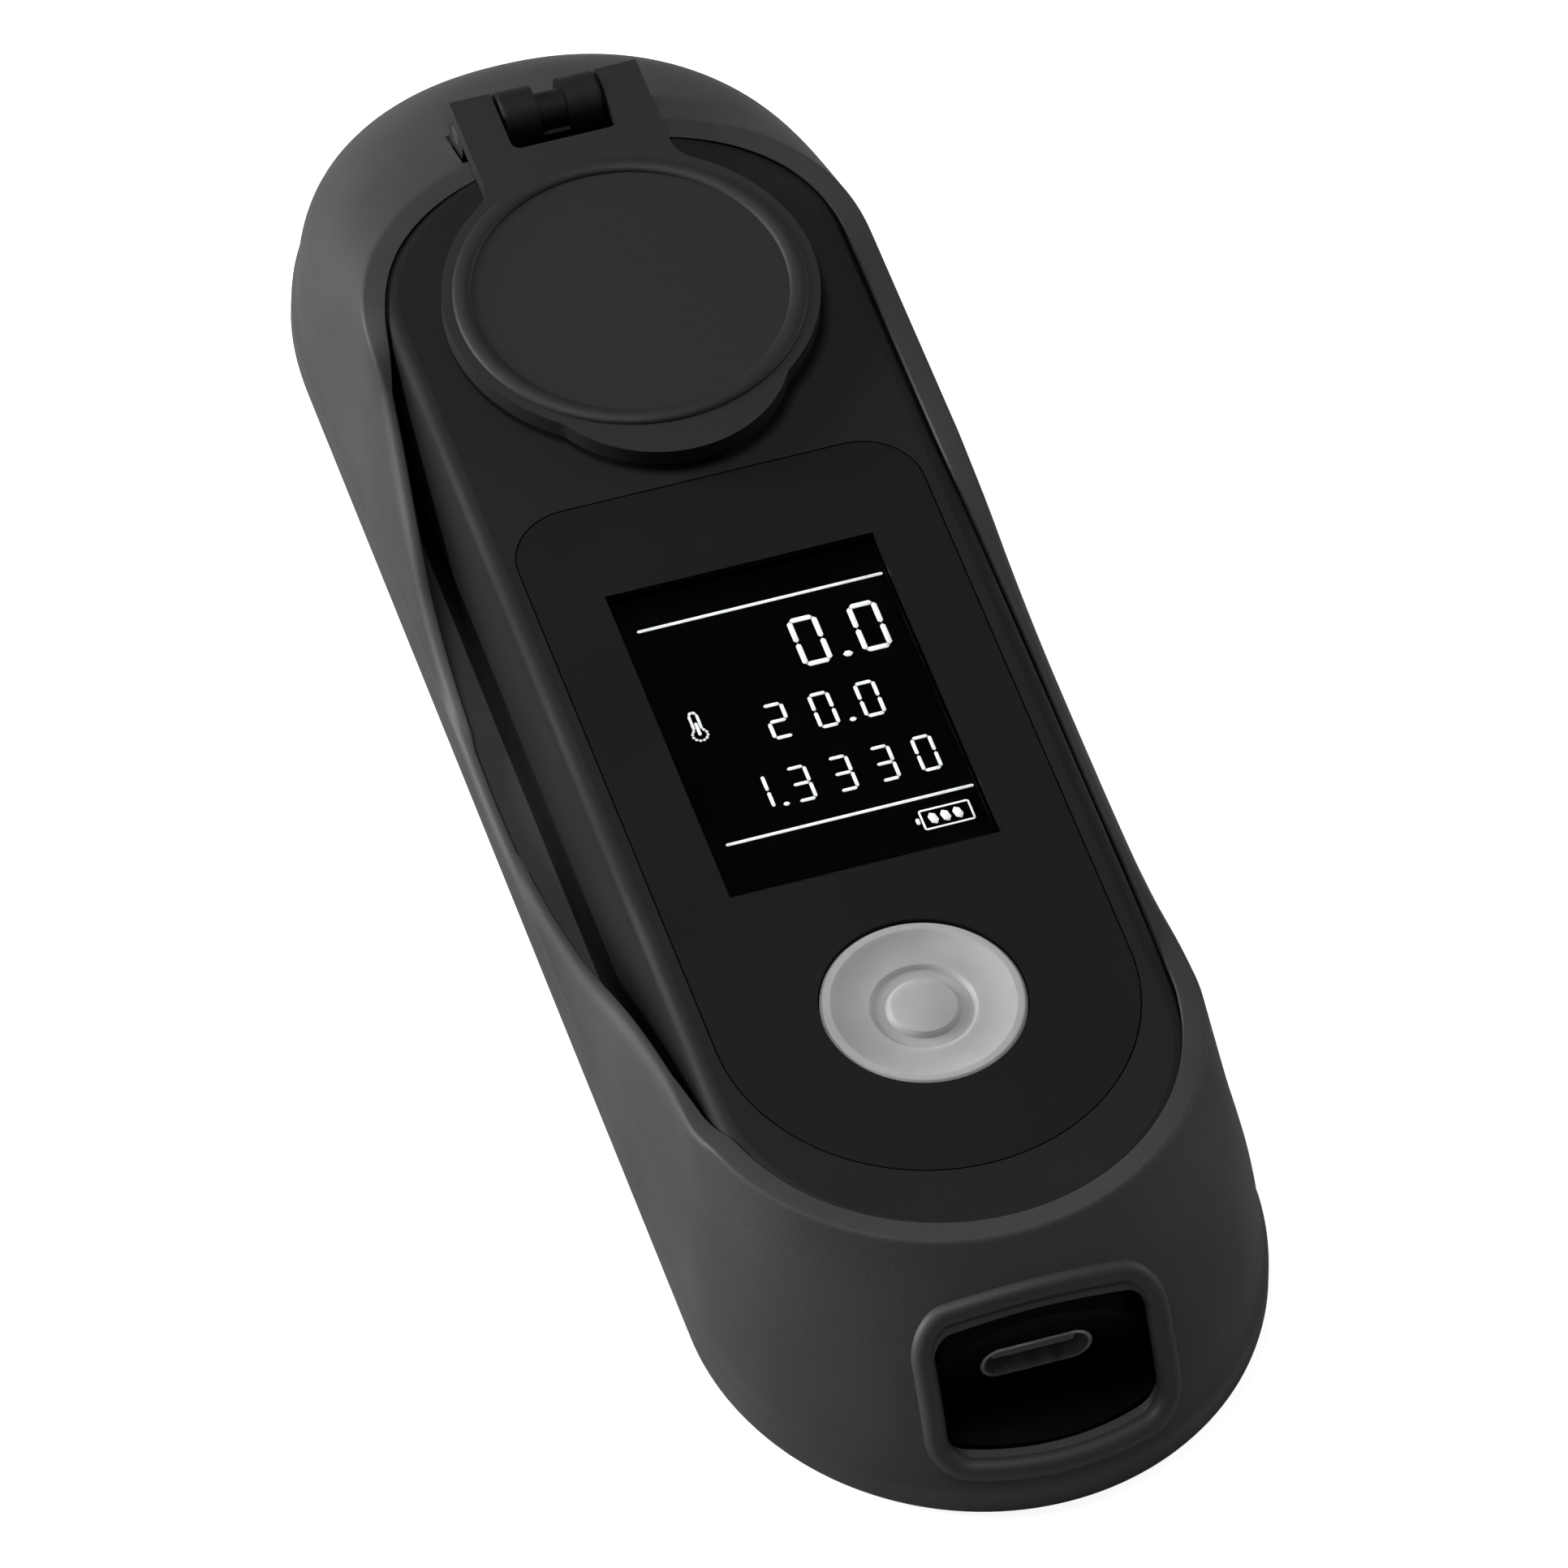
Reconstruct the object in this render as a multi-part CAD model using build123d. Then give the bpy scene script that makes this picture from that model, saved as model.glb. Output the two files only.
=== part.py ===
from build123d import *
import math
import os

# Digital refractometer in a rubber boot, millimetres.
# Origin: centre of the boot's flat underside. +X right, +Y towards the hinge, +Z up.

# Boot: overall outline
boot_length = 148.4
boot_width = 45.8
face_height = 18.6
band_height = 3.3
band_step = 0.35
band_edge_radius = 0.9
boot_floor = 2.0
boot_lip = 1.3
boot_side_wall = 1.4
boot_end_wall = 1.9

# Boot: how far each level stands in from the overall outline, at the side and at both ends
shoulder_height = 13.6
flank_height = 8.6
rim_side_inset = 2.8
shoulder_side_inset = 1.9
flank_side_inset = 0.9
rim_near_inset = 12.5
shoulder_near_inset = 6.3
flank_near_inset = 2.7
rim_far_inset = 18.3
shoulder_far_inset = 7.2
flank_far_inset = 1.6

# Boot: how deep the rounded ends are at each level
rim_near_bow = 20.6
shoulder_near_bow = 22.0
flank_near_bow = 23.2
band_near_bow = 23.8
rim_far_bow = 17.8
shoulder_far_bow = 24.5
flank_far_bow = 27.5
band_far_bow = 26.5

# Boot: finger scoops in both long sides
scoop_centre = -5.0
scoop_low = 4.5
scoop_near_reach = 41.5
scoop_far_reach = 45.5
scoop_over_rim = 0.4

# Case
case_half_width = 18.95
case_end_gap = 0.3
case_wall = 1.7
case_end_wall = 1.9
case_floor = 1.7
case_top = 1.8
case_edge_radius = 1.4
parting_height = 7.6
parting_gap = 0.04

# Front label, display opening and button
button_centre = -38.0
label_half_width = 16.6
label_far_edge = 17.6
label_corner_radius = 5.0
label_thickness = 0.5
label_gap = 0.12
display_width = 22.0
display_length = 32.0
display_centre = -7.8
window_thickness = 0.8
window_overlap = 1.0
window_gap = 0.05
button_radius = 8.0
button_gap = 0.12
button_dish = 0.6
button_nub_radius = 2.6
button_ring_radius = 4.2
button_flange = 1.2
button_flange_thickness = 1.0
button_rise = 0.1
button_travel = 0.6

# Main board and what stands on it
board_half_width = 16.4
board_near_end = -64.0
board_far_end = 16.5
board_thickness = 1.2
switch_width = 6.2
switch_height = 2.8
plunger_radius = 1.7
plunger_gap = 0.06
lcd_glass_thickness = 1.8
lcd_glass_border = 0.9
backlight_thickness = 1.6
lcd_frame_wall = 0.7
chip_sizes = [(7.0, 7.0, 1.0, 5.5, -30.5), (5.0, 4.4, 0.9, -8.0, -30.5), (3.2, 2.6, 0.8, -9.5, -48.0)]

# USB-C socket and its pocket
usb_height = 8.6
usb_width = 8.94
usb_thickness = 3.26
usb_shell_wall = 0.3
usb_length = 7.35
usb_tongue_width = 6.7
usb_tongue_thickness = 0.7
usb_tongue_length = 6.2
usb_hole_gap = 0.45
port_wall_place = -66.0
port_wall = 1.6
port_half_width = 8.5
port_cheek = 1.5
port_low = 5.0
port_high = 14.0
port_window_margin = 0.3
port_corner_radius = 1.5
seal_wall = 1.2
seal_thickness = 0.8

# Battery
battery_width = 24.0
battery_length = 40.0
battery_thickness = 5.2
battery_centre = -30.0
battery_pad_thickness = 0.5

# Screws and bosses
boss_radius = 2.2
screw_radius = 0.95
screw_head_radius = 1.9
screw_head_height = 1.2
screw_hole_gap = 0.1
screw_socket = 0.6
case_screw_places = [(12.8, -53.0), (15.0, -5.0), (13.0, 52.0)]
case_screw_reach = 7.0
board_screw_places = [(14.6, -40.0), (14.6, 12.4)]
board_screw_length = 4.0

# Sample well and optics
well_centre = 36.2
well_radius = 12.0
well_rim_rise = 0.25
well_rim_width = 1.1
well_flange = 0.9
well_flange_thickness = 0.6
well_depth = 2.0
well_floor_thickness = 0.5
well_aperture_radius = 4.2
well_gap = 0.08
seal_ring_thickness = 0.5
prism_width = 9.6
prism_height = 4.2
prism_angle = 60.0
optics_half_width = 9.2
optics_top_half_length = 12.5
optics_foot_width = 4.0
optics_foot_length = 8.0
optics_foot_thickness = 2.0
optics_foot_rise = 2.0
light_bore_radius = 2.6
light_path = 10.5
lens_thickness = 1.4
lens_path = 4.2
lamp_radius = 1.5
lamp_length = 4.0
small_board_thickness = 1.0
small_board_width = 12.0
small_board_length = 8.0
sensor_width = 10.0
sensor_length = 3.0
sensor_thickness = 1.4

# Sample cover and hinge
cover_radius = 15.0
cover_thickness = 1.5
cover_top = 2.25
bead_radius = 13.35
bead_width = 1.6
bead_height = 0.4
tab_radius = 10.5
tab_reach = 17.3
tab_blend_radius = 2.0
neck_half_width = 7.8
neck_blend_radius = 3.0
cover_edge_radius = 0.3
cover_seal_radius = 12.3
cover_seal_width = 1.6
cover_seal_gap = 0.1
hinge_centre = 58.2
hinge_height = 18.6
pin_radius = 0.8
pin_fit = 0.05
arm_radius = 2.1
arm_heel = 1.9
heel_radius = 0.7
slot_half_width = 4.4
slot_near_edge = 53.3
slot_corner_radius = 0.8
knuckle_radius = 2.6
knuckle_half_width = 4.15
saddle_half_width = 1.2
saddle_depth = 0.8
hinge_sweep_gap = 0.3
pocket_side_gap = 0.25

# Worked out from the sizes above
half_length = boot_length / 2
half_width = boot_width / 2
board_underside = usb_height + usb_thickness / 2
board_top = board_underside + board_thickness
plate_underside = face_height - case_top
case_bottom = boot_floor
floor_top = case_bottom + case_floor
far_away = 60.0


def row(height, side_inset, near_inset, far_inset, near_bow, far_bow):
    """One level of the boot: height, half width, near tip, far tip and the depth of both bows."""
    return (
        height,
        half_width - side_inset,
        -half_length + near_inset,
        half_length - far_inset,
        near_bow,
        far_bow,
    )


boot_rows = [
    row(face_height, rim_side_inset, rim_near_inset, rim_far_inset, rim_near_bow, rim_far_bow),
    row(shoulder_height, shoulder_side_inset, shoulder_near_inset, shoulder_far_inset,
        shoulder_near_bow, shoulder_far_bow),
    row(flank_height, flank_side_inset, flank_near_inset, flank_far_inset,
        flank_near_bow, flank_far_bow),
    row(band_height, band_step, band_step, band_step, band_near_bow, band_far_bow),
]


def boot_row_at(height):
    """The boot's outline at any height, in a straight line between its levels."""
    if height <= boot_rows[-1][0]:
        return (height,) + boot_rows[-1][1:]
    for upper, lower in zip(boot_rows, boot_rows[1:]):
        if height >= lower[0]:
            share = (height - lower[0]) / (upper[0] - lower[0])
            return tuple(low + share * (high - low) for low, high in zip(lower, upper))


def inset(level, side, end, width=None):
    """A level moved in by a side wall and an end wall, or to a given half width."""
    height, half, near_tip, far_tip, near_bow, far_bow = level
    inner = half - side if width is None else width
    return (height, inner, near_tip + end, far_tip - end, near_bow - end, far_bow - end)


def plan_face(level):
    """A flat face with straight sides and two rounded ends."""
    height, half, near_tip, far_tip, near_bow, far_bow = level
    near_centre = near_tip + near_bow
    far_centre = far_tip - far_bow
    outline = [
        Line((half, near_centre), (half, far_centre)),
        EllipticalCenterArc((0, far_centre), half, far_bow, 0, arc_size=180),
        Line((-half, far_centre), (-half, near_centre)),
        EllipticalCenterArc((0, near_centre), half, near_bow, 180, arc_size=180),
    ]
    return Pos(0, 0, height) * make_face(outline)


def plan_loft(levels):
    """A solid through a stack of levels."""
    return loft([plan_face(level) for level in levels])


def block(x_low, x_high, y_low, y_high, z_low, z_high):
    """A plain block between two corners."""
    centre = Pos((x_low + x_high) / 2, (y_low + y_high) / 2, (z_low + z_high) / 2)
    return centre * Box(x_high - x_low, y_high - y_low, z_high - z_low)


def post(x, y, radius, z_low, z_high):
    """An upright round post."""
    return Pos(x, y, (z_low + z_high) / 2) * Cylinder(radius, z_high - z_low)


def cross_bar(y, z, radius, x_low, x_high):
    """A round bar along X."""
    return Pos((x_low + x_high) / 2, y, z) * Rot(0, 90, 0) * Cylinder(radius, x_high - x_low)


def both_sides(places):
    """Each place and its mirror across the middle plane."""
    return [(side * x, y) for x, y in places for side in (-1, 1)]


# Boot surfaces and case surfaces
def lip_or_wall(level):
    top = level[0] >= face_height
    return inset(level, boot_lip if top else boot_side_wall, boot_lip if top else boot_end_wall)


cavity_rows = [lip_or_wall(level) for level in boot_rows]
cavity_rows.append((boot_floor,) + cavity_rows[-1][1:])
case_rows = [inset(level, 0, case_end_gap, case_half_width) for level in cavity_rows]


def case_row_at(height, side_wall, end_wall):
    """The case's outline at any height, moved in by its wall."""
    outer = lip_or_wall(boot_row_at(height))
    outer = inset(outer, 0, case_end_gap, case_half_width)
    return inset(outer, side_wall, end_wall)


def case_outside():
    body = plan_loft(case_rows)
    rim = body.faces().sort_by(Axis.Z)[-1].edges()
    return fillet(rim, case_edge_radius)


def case_inside():
    heights = [plate_underside, shoulder_height, flank_height, floor_top]
    return plan_loft([case_row_at(height, case_wall, case_end_wall) for height in heights])


# Hinge shapes that the boot, the case and the cover share
sweep_radius = math.hypot(arm_heel - heel_radius, cover_top - heel_radius) + heel_radius + hinge_sweep_gap
pocket_half_width = neck_half_width + pocket_side_gap


def hinge_pocket():
    """The round trough in which the cover's arms turn."""
    return cross_bar(hinge_centre, hinge_height, sweep_radius, -pocket_half_width, pocket_half_width)


def knuckle_foot(gap=0.0):
    half = knuckle_half_width + gap
    near = hinge_centre - knuckle_radius + 0.4 - gap
    far = hinge_centre + knuckle_radius - 0.4 + gap
    return block(-half, half, near, far, shoulder_height, hinge_height)


def rubber_boot():
    upper = plan_loft(boot_rows)
    band = extrude(plan_face((0, half_width, -half_length, half_length, band_near_bow, band_far_bow)),
                   band_height)
    band = fillet(band.faces().sort_by(Axis.Z)[0].edges(), band_edge_radius)
    skin = upper + band - plan_loft(cavity_rows)
    low = face_height + scoop_over_rim
    edge = Spline(
        (scoop_centre - scoop_near_reach, low),
        (scoop_centre - 0.8 * scoop_near_reach, face_height - 2.2),
        (scoop_centre - 0.45 * scoop_near_reach, face_height - 8.0),
        (scoop_centre - 0.15 * scoop_near_reach, scoop_low + 0.7),
        (scoop_centre, scoop_low),
        (scoop_centre + 0.14 * scoop_far_reach, scoop_low + 0.6),
        (scoop_centre + 0.45 * scoop_far_reach, face_height - 9.0),
        (scoop_centre + 0.78 * scoop_far_reach, face_height - 5.2),
        (scoop_centre + scoop_far_reach, low),
    )
    ends = edge.position_at(0), edge.position_at(1)
    lid = Polyline(ends[1], (ends[1].X, far_away), (ends[0].X, far_away), ends[0])
    scoop = extrude(Plane.YZ * make_face([edge, lid]), amount=far_away, both=True)
    skin -= scoop
    window = RectangleRounded(
        2 * (port_half_width + port_window_margin),
        port_high - port_low + 2 * port_window_margin,
        port_corner_radius,
    )
    middle = (port_high + port_low) / 2
    skin -= extrude(Plane.XZ.offset(-port_wall_place) * Pos(0, middle) * window, far_away)
    skin -= hinge_pocket()
    skin -= knuckle_foot(pocket_side_gap)
    return skin


def shell_half(low, high):
    """The hollow case between two heights."""
    slab = block(-far_away, far_away, -2 * far_away, 2 * far_away, low, high)
    return (case_outside() - case_inside()) & slab


def port_block(gap=0.0):
    """The block around the socket's pocket, before the pocket is cut."""
    half = port_half_width + port_cheek + gap
    inner = port_wall_place + port_wall + gap
    return block(-half, half, -2 * far_away, inner, floor_top, port_high + port_cheek + gap)


def port_cuts():
    """The pocket in front of the socket, and the hole for its shell."""
    pocket = block(-port_half_width, port_half_width, -2 * far_away, port_wall_place,
                   port_low, face_height)
    slot = RectangleRounded(
        usb_width + 2 * usb_hole_gap,
        usb_thickness + 2 * usb_hole_gap,
        (usb_thickness + 2 * usb_hole_gap) / 2 - 0.01,
    )
    hole = extrude(Plane.XZ.offset(-port_wall_place - 2 * port_wall) * Pos(0, usb_height) * slot,
                   3 * port_wall)
    return pocket + hole


def label_face(gap=0.0):
    """The label's outline: square corners rounded at the top, a half circle at the bottom."""
    half = label_half_width + gap
    top = label_far_edge + gap
    corner = label_corner_radius + gap
    outline = [
        Line((half, button_centre), (half, top - corner)),
        CenterArc((half - corner, top - corner), corner, 0, 90),
        Line((half - corner, top), (-half + corner, top)),
        CenterArc((-half + corner, top - corner), corner, 90, 90),
        Line((-half, top - corner), (-half, button_centre)),
        CenterArc((0, button_centre), half, 180, 180),
    ]
    return make_face(outline)


def display_box(margin, z_low, z_high):
    """A block over the display's opening, larger by a margin on each side."""
    return block(
        -display_width / 2 - margin, display_width / 2 + margin,
        display_centre - display_length / 2 - margin, display_centre + display_length / 2 + margin,
        z_low, z_high,
    )


label_underside = face_height - label_thickness
window_underside = label_underside - window_thickness
button_hole = button_radius + button_gap
well_hole = well_radius + well_gap


def hinge_knuckle():
    """The middle knuckle on its foot, with a saddle between two knobs."""
    knuckle = cross_bar(hinge_centre, hinge_height, knuckle_radius,
                        -knuckle_half_width, knuckle_half_width)
    waist = cross_bar(hinge_centre, hinge_height, 2 * knuckle_radius,
                      -saddle_half_width, saddle_half_width)
    waist -= cross_bar(hinge_centre, hinge_height, knuckle_radius - saddle_depth,
                       -saddle_half_width, saddle_half_width)
    knuckle = fillet(knuckle.edges(), cover_edge_radius) - waist
    return knuckle + knuckle_foot()


def front_case():
    body = shell_half(parting_height + parting_gap, face_height)
    hinge_boss = block(-pocket_half_width, pocket_half_width, slot_near_edge, far_away + 2,
                       shoulder_height - 1.5, face_height)
    body += hinge_boss & plan_loft(case_rows)
    for x, y in both_sides(case_screw_places):
        body += post(x, y, boss_radius, parting_height + parting_gap, plate_underside) & plan_loft(case_rows)
    body -= hinge_pocket()
    body += hinge_knuckle()
    body -= cross_bar(hinge_centre, hinge_height, pin_radius, -half_width, half_width)
    body -= Pos(0, 0, label_underside) * extrude(label_face(label_gap), label_thickness)
    body -= display_box(window_overlap + window_gap, window_underside, label_underside)
    body -= display_box(0, plate_underside - 1, face_height)
    body -= post(0, button_centre, button_hole, plate_underside - 1, face_height)
    body -= post(0, well_centre, well_hole, plate_underside - 1, face_height + 1)
    body -= port_block(parting_gap)
    for x, y in both_sides(case_screw_places):
        body -= post(x, y, screw_radius, parting_height, case_bottom + case_screw_reach)
    return body


def rear_case():
    body = shell_half(case_bottom, parting_height)
    body += port_block() & plan_loft(case_rows)
    body -= port_cuts()
    inside = parting_height - floor_top
    for x, y in both_sides(case_screw_places):
        body += post(x, y, boss_radius, floor_top, parting_height) & plan_loft(case_rows)
    for x, y in both_sides(board_screw_places):
        body += post(x, y, boss_radius, floor_top, board_underside)
    for x, y in optics_foot_places:
        body += post(x, y, boss_radius - 0.2, floor_top, floor_top + optics_foot_rise)
    for x, y in both_sides(case_screw_places):
        body -= post(x, y, screw_radius + screw_hole_gap, case_bottom, parting_height)
        body -= post(x, y, screw_head_radius + screw_hole_gap, case_bottom,
                     case_bottom + screw_socket + screw_head_height)
    for x, y in both_sides(board_screw_places):
        body -= post(x, y, screw_radius, board_top - board_screw_length, board_underside)
    for x, y in optics_foot_places:
        body -= post(x, y, screw_radius, floor_top - 0.5, floor_top + optics_foot_rise)
    body -= gasket_ring()
    return body


def gasket_ring():
    """The seal in the rear case's wall. Its ends meet the block around the socket."""
    depth = 0.6
    outer = case_row_at(parting_height, 0.45, 0.55)
    inner = case_row_at(parting_height, 1.15, 1.25)
    ring = extrude(plan_face(outer), -depth) - extrude(plan_face(inner), -depth)
    return ring - port_block(0.0)


optics_foot_places = [(side * (optics_half_width + optics_foot_width / 2), well_centre)
                      for side in (-1, 1)]


def screw(x, y, head_low, tip, upward):
    """A cap screw along Z with a hexagon socket. upward tells which way its tip points."""
    head_high = head_low + screw_head_height
    head = post(x, y, screw_head_radius, head_low, head_high)
    socket_low = head_low if upward else head_high - 0.7
    socket = Pos(x, y, socket_low) * extrude(RegularPolygon(0.75, 6), 0.7)
    shank = post(x, y, screw_radius, head_high, tip) if upward else post(x, y, screw_radius, tip, head_low)
    return head - socket + shank


def case_screws():
    low = case_bottom + screw_socket
    return Compound([screw(x, y, low, case_bottom + case_screw_reach, True)
                     for x, y in both_sides(case_screw_places)])


def board_screws():
    return Compound([screw(x, y, board_top, board_top - board_screw_length, False)
                     for x, y in both_sides(board_screw_places)])


def optics_screws():
    low = floor_top + optics_foot_rise + optics_foot_thickness
    return Compound([screw(x, y, low, floor_top - 0.5, False) for x, y in optics_foot_places])


def front_label():
    body = extrude(label_face(), label_thickness)
    body = Pos(0, 0, label_underside) * body
    body -= display_box(0, label_underside, face_height)
    return body - post(0, button_centre, button_hole, label_underside, face_height)


def display_window():
    return display_box(window_overlap, window_underside, label_underside)


lcd_top = plate_underside
lcd_glass_low = lcd_top - lcd_glass_thickness


def lcd_glass():
    return display_box(lcd_glass_border, lcd_glass_low, lcd_top)


def backlight_panel():
    return display_box(lcd_glass_border, lcd_glass_low - backlight_thickness, lcd_glass_low)


def lcd_frame():
    body = display_box(lcd_glass_border + window_gap + lcd_frame_wall, board_top, lcd_top)
    body -= display_box(lcd_glass_border + window_gap, lcd_glass_low - backlight_thickness, lcd_top)
    return body - display_box(-1.5, board_top, lcd_top)


def button_cap():
    """Dished cap with a centre nub, a ring groove, a flange below and a stem to the switch."""
    top = face_height - button_rise
    flange_top = plate_underside - window_gap
    flange_low = flange_top - button_flange_thickness
    switch_top = board_top + switch_height
    stem_low = switch_top + 1.0
    edge = button_radius
    dish = top - button_dish
    profile = make_face([
        Polyline(
            (0, stem_low), (plunger_radius, stem_low), (plunger_radius, flange_low),
            (edge + button_flange, flange_low), (edge + button_flange, flange_top),
            (edge, flange_top), (edge, top - 0.25), (edge - 0.25, top), (edge - 0.8, top),
        ),
        Spline((edge - 0.8, top), (6.0, dish + 0.18), (button_ring_radius, dish)),
        Polyline(
            (button_ring_radius, dish), (button_ring_radius - 0.35, dish - 0.3),
            (button_nub_radius + 0.35, dish - 0.3), (button_nub_radius, dish + 0.15),
        ),
        Spline((button_nub_radius, dish + 0.15), (button_nub_radius / 2, dish + 0.3), (0, dish + 0.35)),
        Line((0, dish + 0.35), (0, stem_low)),
    ])
    body = revolve(Plane.XZ * profile, Axis.Z)
    return Pos(0, button_centre, 0) * body


def switch_body():
    half = switch_width / 2
    body = block(-half, half, button_centre - half, button_centre + half,
                 board_top, board_top + switch_height)
    well_low = board_top + 0.3
    return body - post(0, button_centre, plunger_radius + plunger_gap, well_low, board_top + switch_height)


def switch_plunger():
    low = board_top + 0.4 + button_travel
    return post(0, button_centre, plunger_radius, low, board_top + switch_height + 1.0)


def main_board():
    level = case_row_at(board_top, case_wall, case_end_wall)
    level = inset(level, 0, 0, board_half_width)
    body = Pos(0, 0, -board_thickness) * extrude(plan_face(level), board_thickness)
    body &= block(-half_width, half_width, board_near_end, board_far_end, board_underside, board_top)
    for x, y in both_sides(case_screw_places):
        body -= post(x, y, boss_radius + window_gap * 4, board_underside, board_top)
    for x, y in both_sides(board_screw_places):
        body -= post(x, y, screw_radius + screw_hole_gap, board_underside, board_top)
    return body


def board_chips():
    chips = [block(x - width / 2, x + width / 2, y - length / 2, y + length / 2,
                   board_top, board_top + height)
             for width, length, height, x, y in chip_sizes]
    return Compound([chip for chip in chips])


def slot_bar(width, thickness, y_low, y_high):
    """A bar with round sides along Y at the socket's height."""
    outline = RectangleRounded(width, thickness, thickness / 2 - 0.01)
    return extrude(Plane.XZ.offset(-y_high) * Pos(0, usb_height) * outline, y_high - y_low)


usb_front = port_wall_place + 0.25
usb_back = usb_front + usb_length


def usb_shell():
    body = slot_bar(usb_width, usb_thickness, usb_front, usb_back)
    inner = slot_bar(usb_width - 2 * usb_shell_wall, usb_thickness - 2 * usb_shell_wall,
                     usb_front, usb_back - 0.4)
    return body - inner


def usb_tongue():
    half = usb_tongue_width / 2
    low = usb_height - usb_tongue_thickness / 2
    tongue = block(-half, half, usb_back - 0.4 - usb_tongue_length, usb_back - 0.4,
                   low, low + usb_tongue_thickness)
    return fillet(tongue.edges().filter_by(Axis.Z), 0.3)


def usb_seal():
    near = port_wall_place + port_wall
    outer = slot_bar(usb_width + 2 * seal_wall, usb_thickness + 2 * seal_wall, near, near + seal_thickness)
    outer -= slot_bar(usb_width, usb_thickness, near, near + seal_thickness)
    top = block(-half_width, half_width, near, near + seal_thickness, board_underside, face_height)
    return outer - top


def battery_cell():
    low = floor_top + battery_pad_thickness
    body = block(-battery_width / 2, battery_width / 2,
                 battery_centre - battery_length / 2, battery_centre + battery_length / 2,
                 low, low + battery_thickness)
    return fillet(body.edges().filter_by(Axis.Y), 1.2)


def battery_pad():
    margin = 2.0
    return block(-battery_width / 2 + margin, battery_width / 2 - margin,
                 battery_centre - battery_length / 2 + margin,
                 battery_centre + battery_length / 2 - margin,
                 floor_top, floor_top + battery_pad_thickness)


def sample_well():
    """Pressed steel dish: a rim, a cone down to the aperture, and a flange under the case."""
    rim = face_height + well_rim_rise
    floor = face_height - well_depth
    wall = well_floor_thickness
    profile = make_face([Polyline(
        (well_aperture_radius, floor - wall), (well_radius, floor - wall),
        (well_radius, rim - 0.3), (well_radius - 0.3, rim), (well_radius - well_rim_width, rim),
        (well_aperture_radius + 1.2, floor), (well_aperture_radius, floor),
        (well_aperture_radius, floor - wall),
    )])
    flange = post(0, 0, well_radius + well_flange, plate_underside - well_flange_thickness, plate_underside)
    flange -= post(0, 0, well_radius - 0.2, plate_underside - well_flange_thickness, plate_underside)
    return Pos(0, well_centre, 0) * (revolve(Plane.XZ * profile, Axis.Z) + flange)


well_underside = face_height - well_depth - well_floor_thickness
prism_top = well_underside
prism_lean = prism_height / math.tan(math.radians(prism_angle))
light_tilt = 90 - prism_angle


def prism():
    top_half = prism_width / 2
    outline = make_face([Polyline(
        (-top_half, prism_top), (top_half, prism_top),
        (top_half - prism_lean, prism_top - prism_height),
        (-top_half + prism_lean, prism_top - prism_height),
        (-top_half, prism_top),
    )])
    body = extrude(Plane.YZ * outline, prism_width / 2, both=True)
    return Pos(0, well_centre, 0) * body


def along_beam(side, distance):
    """A plane square to the light path, at a distance from the prism's face on one side."""
    face_y = prism_width / 2 - prism_lean / 2
    face_z = prism_top - prism_height / 2
    tilt = math.radians(light_tilt)
    away = (0, side * math.cos(tilt), -math.sin(tilt))
    origin = (0, well_centre + side * face_y + distance * away[1], face_z + distance * away[2])
    return Plane(origin=origin, x_dir=(1, 0, 0), z_dir=away)


def optics_housing():
    """Inverted wedge that holds the prism, with a light path bored to each sloping end."""
    top = prism_top
    seat = along_beam(1, light_path).origin
    slope = math.tan(math.radians(light_tilt))
    reach = seat.Y - well_centre
    low = floor_top + 0.1
    low_half = reach - (seat.Z - low) * slope
    corner = optics_top_half_length + 2.0
    corner_z = seat.Z + (corner - reach) / slope
    half = [(low_half, low), (corner, corner_z), (optics_top_half_length, corner_z + 1.0),
            (optics_top_half_length, top)]
    outline = half + [(-y, z) for y, z in reversed(half)] + [half[0]]
    body = Pos(0, well_centre, 0) * extrude(Plane.YZ * make_face([Polyline(*outline)]),
                                            optics_half_width, both=True)
    body &= plan_loft([case_row_at(height, case_wall + 0.2, case_end_wall + 0.2)
                       for height in (plate_underside, shoulder_height, flank_height, floor_top)])
    for x, y in optics_foot_places:
        foot_low = floor_top + optics_foot_rise
        foot = block(x - optics_foot_width / 2, x + optics_foot_width / 2,
                     y - optics_foot_length / 2, y + optics_foot_length / 2,
                     foot_low, foot_low + optics_foot_thickness)
        body += foot
        body -= post(x, y, screw_radius + screw_hole_gap, foot_low, foot_low + optics_foot_thickness)
    body -= prism()
    body -= temperature_sensor()
    for side in (-1, 1):
        body -= extrude(along_beam(side, 0) * Circle(light_bore_radius), light_path + 2)
    return body


def light_source():
    """Lamp on the near light path: a small can with a domed end."""
    plane = along_beam(-1, light_path)
    can = extrude(plane * Circle(lamp_radius), -lamp_length + lamp_radius)
    rim = extrude(plane * Circle(lamp_radius + 0.3), -0.6)
    dome = plane.offset(-lamp_length + lamp_radius) * Sphere(lamp_radius)
    return can + rim + dome


def beam_lens():
    return extrude(along_beam(-1, lens_path) * Circle(light_bore_radius - 0.03), lens_thickness)


def small_board(side):
    outline = Rectangle(small_board_width, small_board_length)
    return extrude(along_beam(side, light_path) * outline, small_board_thickness)


def line_sensor():
    plane = along_beam(1, light_path)
    sensor = extrude(plane * Rectangle(2 * light_bore_radius - 1.6, sensor_length), -sensor_thickness)
    return sensor


def temperature_sensor():
    """Bead on the prism's side, with its flat body in the housing's top."""
    x = prism_width / 2 + 0.9
    return block(prism_width / 2, x, well_centre - 1.2, well_centre + 1.2,
                 prism_top - 1.0, prism_top)


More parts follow.
